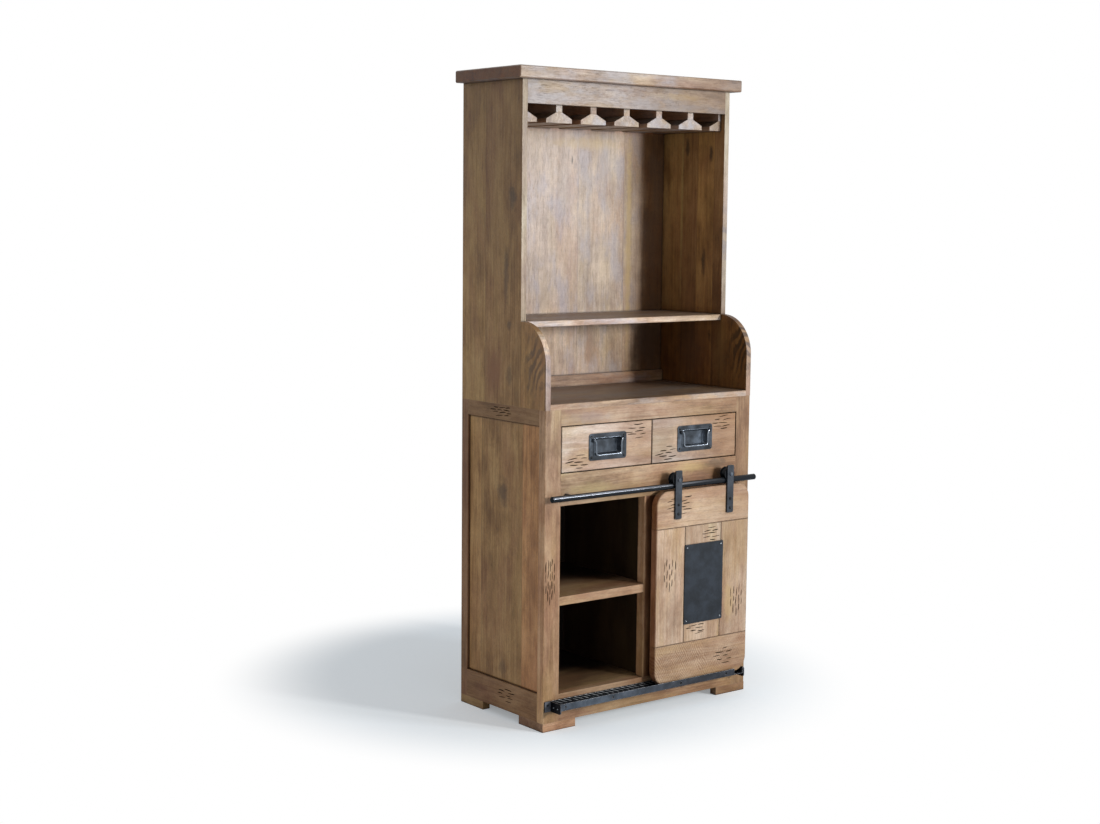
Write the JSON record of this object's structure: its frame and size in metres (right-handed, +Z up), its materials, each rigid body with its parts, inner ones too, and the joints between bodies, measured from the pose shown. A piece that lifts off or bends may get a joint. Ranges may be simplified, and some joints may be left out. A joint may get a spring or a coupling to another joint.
{
  "type": "wine cabinet",
  "caption": "Free-standing wine cabinet: open hutch with a rack for stemmed glasses over a base with drawers, open shelves and a plank door that slides on a round bar.",
  "frame": {"origin": "on the floor, in the middle of the width and of the overall depth", "axes": "+Z up, +X to the right as seen from the front, +Y to the back; the front faces -Y"},
  "size_m": [0.856, 0.46, 1.9],
  "materials": {
    "stile_left": "matt mango wood, warm tan",
    "stile_right": "matt mango wood, warm tan",
    "stile_centre": "matt mango wood, warm tan",
    "front_rail_top": "matt mango wood, warm tan",
    "front_rail_middle": "matt mango wood, warm tan",
    "front_rail_bottom": "matt mango wood, warm tan",
    "back_post_left": "matt mango wood, olive brown",
    "back_post_right": "matt mango wood, olive brown",
    "side_rail_top_left": "matt mango wood, olive brown",
    "side_rail_top_right": "matt mango wood, olive brown",
    "side_rail_bottom_left": "matt mango wood, olive brown",
    "side_rail_bottom_right": "matt mango wood, olive brown",
    "side_panel_left": "matt mango wood, olive brown",
    "side_panel_right": "matt mango wood, olive brown",
    "base_floor": "matt wood, dark brown",
    "divider": "matt wood, dark brown",
    "shelf_left": "matt mango wood, warm tan",
    "shelf_right": "matt mango wood, warm tan",
    "drawer_board": "matt wood, dark brown",
    "drawer_guides": "matt wood, dark brown",
    "base_back": "matt wood, dark brown",
    "foot_front_left": "matt mango wood, warm tan",
    "foot_front_right": "matt mango wood, warm tan",
    "foot_rear_left": "matt mango wood, olive brown",
    "foot_rear_right": "matt mango wood, olive brown",
    "hutch_side_left": "matt mango wood, olive brown",
    "hutch_side_right": "matt mango wood, olive brown",
    "counter": "matt wood, dark brown",
    "hutch_shelf": "matt mango wood, warm tan",
    "hutch_back": "matt veneer panel, beige",
    "upstand": "matt mango wood, warm tan",
    "apron": "matt mango wood, warm tan",
    "top_slab": "matt mango wood, warm tan",
    "glass_rail_feet": "matt mango wood, light tan",
    "glass_rail_stems": "matt mango wood, light tan",
    "door_bar": "dark blue-grey, satin",
    "bar_fixings": "dark blue-grey, satin",
    "track_channel": "dark blue-grey, satin",
    "track_bracket_left": "dark blue-grey, satin",
    "track_bracket_right": "dark blue-grey, satin",
    "door_plank_top": "matt mango wood, light tan",
    "door_plank_bottom": "matt mango wood, light tan",
    "door_plank_left": "matt mango wood, light tan",
    "door_plank_middle": "matt mango wood, light tan",
    "door_plank_right": "matt mango wood, light tan",
    "door_plate": "dark blue-grey, satin",
    "strap_left": "dark blue-grey, satin",
    "strap_right": "dark blue-grey, satin",
    "strap_screws": "dark blue-grey, satin",
    "axle_bolts": "dark blue-grey, satin",
    "wheel_left": "dark blue-grey, satin",
    "wheel_right": "dark blue-grey, satin",
    "drawer_left_front": "matt mango wood, light tan",
    "drawer_left_box": "matt wood, dark brown",
    "drawer_left_pull": "burnished blue-grey steel",
    "drawer_left_bail": "burnished blue-grey steel",
    "drawer_right_front": "matt mango wood, light tan",
    "drawer_right_box": "matt wood, dark brown",
    "drawer_right_pull": "burnished blue-grey steel",
    "drawer_right_bail": "burnished blue-grey steel"
  },
  "bodies": {
    "cabinet": {"stile_left": "stile_left", "stile_right": "stile_right", "stile_centre": "stile_centre", "front_rail_top": "front_rail_top", "front_rail_middle": "front_rail_middle", "front_rail_bottom": "front_rail_bottom", "back_post_left": "back_post_left", "back_post_right": "back_post_right", "side_rail_top_left": "side_rail_top_left", "side_rail_top_right": "side_rail_top_right", "side_rail_bottom_left": "side_rail_bottom_left", "side_rail_bottom_right": "side_rail_bottom_right", "side_panel_left": "side_panel_left", "side_panel_right": "side_panel_right", "base_floor": "base_floor", "divider": "divider", "shelf_left": "shelf_left", "shelf_right": "shelf_right", "drawer_board": "drawer_board", "drawer_guides": "drawer_guides", "base_back": "base_back", "foot_front_left": "foot_front_left", "foot_front_right": "foot_front_right", "foot_rear_left": "foot_rear_left", "foot_rear_right": "foot_rear_right", "hutch_side_left": "hutch_side_left", "hutch_side_right": "hutch_side_right", "counter": "counter", "hutch_shelf": "hutch_shelf", "hutch_back": "hutch_back", "upstand": "upstand", "apron": "apron", "top_slab": "top_slab", "glass_rail_feet": "glass_rail_feet", "glass_rail_stems": "glass_rail_stems", "door_bar": "door_bar", "bar_fixings": "bar_fixings", "track_channel": "track_channel", "track_bracket_left": "track_bracket_left", "track_bracket_right": "track_bracket_right"},
    "door": {"door_plank_top": "door_plank_top", "door_plank_bottom": "door_plank_bottom", "door_plank_left": "door_plank_left", "door_plank_middle": "door_plank_middle", "door_plank_right": "door_plank_right", "door_plate": "door_plate", "strap_left": "strap_left", "strap_right": "strap_right", "strap_screws": "strap_screws", "axle_bolts": "axle_bolts"},
    "wheel_left": {"wheel_left": "wheel_left"},
    "wheel_right": {"wheel_right": "wheel_right"},
    "drawer_left": {"drawer_left_front": "drawer_left_front", "drawer_left_box": "drawer_left_box", "drawer_left_pull": "drawer_left_pull"},
    "bail_left": {"drawer_left_bail": "drawer_left_bail"},
    "drawer_right": {"drawer_right_front": "drawer_right_front", "drawer_right_box": "drawer_right_box", "drawer_right_pull": "drawer_right_pull"},
    "bail_right": {"drawer_right_bail": "drawer_right_bail"}
  },
  "joints": [
    {"name": "door_slide", "type": "slide", "parent": "cabinet", "child": "door", "axis": [1, 0, 0], "range_m": [-0.37, 0]},
    {"name": "wheel_left_spin", "type": "hinge", "parent": "door", "child": "wheel_left", "pos_m": [0.071, -0.209, 0.7025], "axis": [0, 1, 0], "continuous": true},
    {"name": "wheel_right_spin", "type": "hinge", "parent": "door", "child": "wheel_right", "pos_m": [0.282, -0.209, 0.7025], "axis": [0, 1, 0], "continuous": true},
    {"name": "drawer_left_slide", "type": "slide", "parent": "cabinet", "child": "drawer_left", "axis": [0, -1, 0], "range_m": [0, 0.25]},
    {"name": "drawer_right_slide", "type": "slide", "parent": "cabinet", "child": "drawer_right", "axis": [0, -1, 0], "range_m": [0, 0.25]},
    {"name": "bail_left_swing", "type": "hinge", "parent": "drawer_left", "child": "bail_left", "pos_m": [-0.17087, -0.187, 0.8375], "axis": [-1, 0, 0], "range_deg": [-2, 90]},
    {"name": "bail_right_swing", "type": "hinge", "parent": "drawer_right", "child": "bail_right", "pos_m": [0.17087, -0.187, 0.8375], "axis": [-1, 0, 0], "range_deg": [-2, 90]}
  ],
  "couplings": [
    {"joint": "wheel_left_spin", "follows": "door_slide", "rad_per_m": 98.039},
    {"joint": "wheel_right_spin", "follows": "door_slide", "rad_per_m": 98.039}
  ]
}
